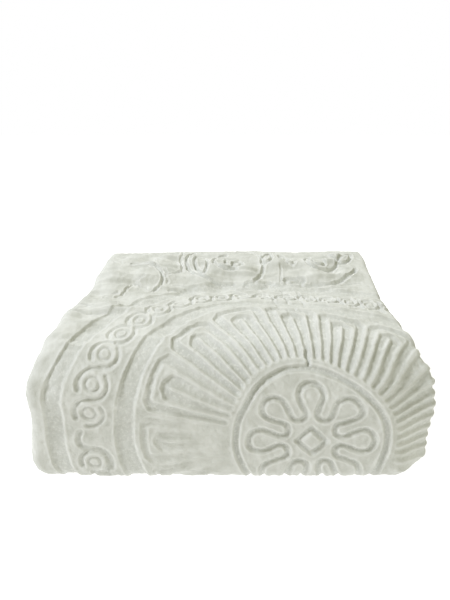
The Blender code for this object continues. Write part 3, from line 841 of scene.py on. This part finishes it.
# %% Attributes and the object
# The finish reads this relief for the pressed floors, and its negative part for a painted highlight on
# the lips.
press_layer = cloth_mesh.attributes.new("pressed", "FLOAT", "POINT")
press_layer.data.foreach_set("value", (pressed / RAY_DEPTH).astype(np.float32))
flat_map = cloth_mesh.uv_layers.new(name="flat")
corners = np.empty(len(cloth_mesh.loops), dtype=np.int32)
cloth_mesh.loops.foreach_get("vertex_index", corners)
places = np.stack([U / CLOTH_WIDTH, V / CLOTH_LENGTH], axis=1)[corners]
flat_map.data.foreach_set("uv", places.ravel())
cloth_mesh.shade_smooth()
normals_bm = bmesh.new()
normals_bm.from_mesh(cloth_mesh)
bmesh.ops.recalc_face_normals(normals_bm, faces=normals_bm.faces)
if normals_bm.calc_volume(signed=True) < 0:
    bmesh.ops.reverse_faces(normals_bm, faces=normals_bm.faces)
print("cloth volume:", round(normals_bm.calc_volume(signed=True), 4), "cubic metres")
normals_bm.to_mesh(cloth_mesh)
normals_bm.free()
blanket = bpy.data.objects.new("blanket_cloth", cloth_mesh)
bpy.context.scene.collection.objects.link(blanket)
print("triangles:", sum(len(face.vertices) - 2 for face in cloth_mesh.polygons))

# %% [markdown]
# The finish
#
# Plush is a short dense pile. It has no gloss, but its fibre tips catch light at the edges of
# the form, which sheen gives. The pile is brushed, so small patches of it lean different ways
# and look lighter or greyer. On the pressed floors the fibres are flattened together, so the
# flecks show more there, and the ivory reads a little greyer. On the lips beside them the
# colour is made lighter, a painted highlight where standing fibres would catch more light.
# The tufts and clumps of the pile are only about a millimetre deep, and a bump draws them.

# %% Shader helpers
NODE_STEP = 180
COLOUR_A, COLOUR_B, COLOUR_RESULT = 6, 7, 2


def add_node(tree, kind, place, **values):
    """A new node at its place in the editor, with its settings."""
    node = tree.nodes.new(kind)
    node.location = place
    for name, value in values.items():
        setattr(node, name, value)
    return node


def noise_node(tree, vector, kind, place):
    """A noise texture, with a mapping that stretches it."""
    mapping = add_node(tree, "ShaderNodeMapping", (place[0] - NODE_STEP, place[1]))
    mapping.inputs["Scale"].default_value = kind.stretch
    tree.links.new(vector, mapping.inputs["Vector"])
    node = add_node(tree, "ShaderNodeTexNoise", place)
    node.inputs["Scale"].default_value = kind.scale
    node.inputs["Detail"].default_value = kind.detail
    tree.links.new(mapping.outputs["Vector"], node.inputs["Vector"])
    return node.outputs["Fac"]


def mix_colour(tree, factor, low, high, place):
    """Mix two colours, each a fixed one or the output of another node."""
    node = add_node(tree, "ShaderNodeMix", place, data_type="RGBA")
    tree.links.new(factor, node.inputs["Factor"])
    for socket, value in ((node.inputs[COLOUR_A], low), (node.inputs[COLOUR_B], high)):
        if isinstance(value, tuple):
            socket.default_value = value
        else:
            tree.links.new(value, socket)
    return node.outputs[COLOUR_RESULT]


def ramp(tree, value, span, place):
    """Stretch a value so that the low end of the span becomes 0 and its high end 1."""
    node = add_node(tree, "ShaderNodeMapRange", place)
    tree.links.new(value, node.inputs["Value"])
    node.inputs["From Min"].default_value = span[0]
    node.inputs["From Max"].default_value = span[1]
    return node.outputs["Result"]


# %% Ivory plush
IVORY = (0.632, 0.640, 0.592, 1)
IVORY_LIGHT = (0.745, 0.752, 0.712, 1)
IVORY_GREY = (0.580, 0.590, 0.556, 1)
IVORY_PRESSED = (0.655, 0.669, 0.630, 1)
# The next colour is a painted highlight for the lips beside the grooves; the flecks also use it as
# their lightest tone.
IVORY_LIP_HIGHLIGHT = (0.800, 0.806, 0.770, 1)
PILE_ROUGHNESS = 0.95
PILE_SPECULAR = 0.10
SHEEN = 0.20
SHEEN_ROUGHNESS = 0.45
Noise = namedtuple("Noise", "scale detail stretch")
BROAD = Noise(42, 5, (1, 0.5, 1))
SPECKLE = Noise(290, 3, (1, 0.6, 1))
TUFTS = Noise(420, 2, (1, 1, 1))
CLUMPS = Noise(120, 3, (1, 1, 1))
Relief = namedtuple("Relief", "distance strength")
TUFT_RELIEF = Relief(0.0008, 0.7)
CLUMP_RELIEF = Relief(0.0018, 0.6)
BROAD_SPAN = (0.35, 0.65)
LIP_HIGHLIGHT_SPAN = (-0.02, -0.20)
FLECK_SPAN = (0.38, 0.68)
FLOOR_SPAN = (0.35, 0.65)
PRESS_SPAN = (0.30, 1.10)


def pile_bump(tree, height, relief_size, place):
    """A bump for one size of unevenness of the pile."""
    node = add_node(tree, "ShaderNodeBump", place)
    node.inputs["Distance"].default_value = relief_size.distance
    node.inputs["Strength"].default_value = relief_size.strength
    tree.links.new(height, node.inputs["Height"])
    return node


def plush_material():
    """Mottled ivory, with a painted highlight on the lips and flecks on the pressed floors."""
    material = bpy.data.materials.new("ivory_plush")
    material.use_nodes = True
    tree = material.node_tree
    shader = tree.nodes["Principled BSDF"]
    shader.inputs["Roughness"].default_value = PILE_ROUGHNESS
    shader.inputs["Specular IOR Level"].default_value = PILE_SPECULAR
    shader.inputs["Sheen Weight"].default_value = SHEEN
    shader.inputs["Sheen Roughness"].default_value = SHEEN_ROUGHNESS
    places = add_node(tree, "ShaderNodeTexCoord", (-1400, 0)).outputs["Object"]
    pressed_mask = add_node(tree, "ShaderNodeAttribute", (-1000, -300), attribute_name="pressed")
    pressed = pressed_mask.outputs["Fac"]
    broad = noise_node(tree, places, BROAD, (-1000, 300))
    speckle = noise_node(tree, places, SPECKLE, (-1000, 80))
    broad_mix = ramp(tree, broad, BROAD_SPAN, (-800, 300))
    lip_highlight_mix = ramp(tree, pressed, LIP_HIGHLIGHT_SPAN, (-800, -450))
    fleck_mix = ramp(tree, speckle, FLECK_SPAN, (-800, 80))
    floor_mix = ramp(tree, speckle, FLOOR_SPAN, (-800, -100))
    press_mix = ramp(tree, pressed, PRESS_SPAN, (-800, -300))
    tone = mix_colour(tree, broad_mix, IVORY, IVORY_LIGHT, (-600, 300))
    # Painted highlight: the lips beside the grooves are mixed towards a lighter ivory.
    tone = mix_colour(tree, lip_highlight_mix, tone, IVORY_LIP_HIGHLIGHT, (-400, 300))
    flecks = mix_colour(tree, fleck_mix, IVORY_GREY, IVORY_LIP_HIGHLIGHT, (-600, 80))
    floor_tone = mix_colour(tree, floor_mix, IVORY_PRESSED, flecks, (-400, -100))
    colour = mix_colour(tree, press_mix, tone, floor_tone, (-200, 100))
    tree.links.new(colour, shader.inputs["Base Color"])
    tufts = noise_node(tree, places, TUFTS, (-1000, -600))
    clumps = noise_node(tree, places, CLUMPS, (-1000, -900))
    fine = pile_bump(tree, tufts, TUFT_RELIEF, (-600, -600))
    coarse = pile_bump(tree, clumps, CLUMP_RELIEF, (-400, -700))
    tree.links.new(fine.outputs["Normal"], coarse.inputs["Normal"])
    tree.links.new(coarse.outputs["Normal"], shader.inputs["Normal"])
    return material


cloth_mesh.materials.append(plush_material())

# %% Declaring the cloth
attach(blanket, "root")
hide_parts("blanket")

# %% [markdown]
# Floor, light and camera
#
# The blanket is shown on a flat white floor that glows a little, as paper on a light table
# does, and everything round it is white to the camera. The key light stands high on the left
# and far off, so it is even over the whole cloth and still shows the grooves. Weaker lights
# from behind and from the right fill the shadows. The camera looks down by 25 degrees from
# about 0.85 m.

# %% Floor
FLOOR_SIZE = 6.0
FLOOR_DROP = 0.0005
FLOOR_GREY = (0.45, 0.45, 0.45, 1)
FLOOR_GLOW = 0.88
WHITE = (1, 1, 1, 1)

floor_bm = bmesh.new()
bmesh.ops.create_grid(floor_bm, x_segments=1, y_segments=1, size=FLOOR_SIZE)
bmesh.ops.translate(floor_bm, verts=floor_bm.verts, vec=(0, 0, -FLOOR_DROP))
floor_mesh = bpy.data.meshes.new("floor")
floor_bm.to_mesh(floor_mesh)
floor_bm.free()
floor = bpy.data.objects.new("floor", floor_mesh)
bpy.context.scene.collection.objects.link(floor)
floor_material = bpy.data.materials.new("floor_white")
floor_material.use_nodes = True
floor_shader = floor_material.node_tree.nodes["Principled BSDF"]
floor_shader.inputs["Base Color"].default_value = FLOOR_GREY
floor_shader.inputs["Roughness"].default_value = 1.0
floor_shader.inputs["Specular IOR Level"].default_value = 0.0
floor_shader.inputs["Emission Color"].default_value = WHITE
floor_shader.inputs["Emission Strength"].default_value = FLOOR_GLOW
floor_mesh.materials.append(floor_material)

# %% Surroundings
AIR_COLOUR = (1.0, 1.0, 0.74, 1)
AIR_STRENGTH = 0.28

world = bpy.data.worlds.new("studio")
world.use_nodes = True
sky = world.node_tree
air = sky.nodes["Background"]
air.inputs["Color"].default_value = AIR_COLOUR
air.inputs["Strength"].default_value = AIR_STRENGTH
paper = add_node(sky, "ShaderNodeBackground", (0, -200))
paper.inputs["Color"].default_value = WHITE
ray_kind = add_node(sky, "ShaderNodeLightPath", (0, 300))
chooser = add_node(sky, "ShaderNodeMixShader", (200, 0))
sky.links.new(ray_kind.outputs["Is Camera Ray"], chooser.inputs["Fac"])
sky.links.new(air.outputs["Background"], chooser.inputs[1])
sky.links.new(paper.outputs["Background"], chooser.inputs[2])
sky.links.new(chooser.outputs["Shader"], sky.nodes["World Output"].inputs["Surface"])
bpy.context.scene.world = world
bpy.context.scene.view_settings.view_transform = "Standard"

# %% Lights
Lamp = namedtuple("Lamp", "name place size power colour")
LAMPS = (
    Lamp("key", (-3.30, -0.48, 3.95), 1.2, 201, (0.905, 0.922, 1.0)),
    Lamp("back", (0.40, 2.60, 2.00), 1.6, 38, (0.98, 0.985, 1.0)),
    Lamp("fill", (2.60, -0.90, 2.40), 1.6, 11, (1.0, 1.0, 0.70)),
)


def soft_light(lamp):
    """A square area light, aimed at the middle of the stack and unseen by the camera."""
    source = bpy.data.lights.new(lamp.name, "AREA")
    source.size = lamp.size
    source.energy = lamp.power
    source.color = lamp.colour
    light = bpy.data.objects.new(lamp.name, source)
    light.location = lamp.place
    light.visible_camera = False
    aim = Vector((0, 0, HEIGHT / 2)) - Vector(lamp.place)
    light.rotation_euler = aim.to_track_quat("-Z", "Y").to_euler()
    bpy.context.scene.collection.objects.link(light)


for lamp in LAMPS:
    soft_light(lamp)
print("lights:", [lamp.name for lamp in LAMPS])

# %% Camera
FOCAL_PIXELS = 442
FRAME_PIXELS = 600
PRINCIPAL_OFFSET = (6, 1)
CAMERA_BACK = 0.7292
CAMERA_UP = 0.5315
CAMERA_PITCH = 25
SENSOR = 36
camera_data = bpy.data.cameras.new("camera")
camera_data.sensor_width = SENSOR
camera_data.lens = FOCAL_PIXELS / FRAME_PIXELS * SENSOR
camera_data.shift_x = -PRINCIPAL_OFFSET[0] / FRAME_PIXELS
camera_data.shift_y = PRINCIPAL_OFFSET[1] / FRAME_PIXELS
camera = bpy.data.objects.new("camera", camera_data)
camera.location = (-shift[0], -CAMERA_BACK - shift[1], CAMERA_UP)
camera.rotation_euler = (math.radians(90 - CAMERA_PITCH), 0, 0)
bpy.context.scene.collection.objects.link(camera)
bpy.context.scene.camera = camera
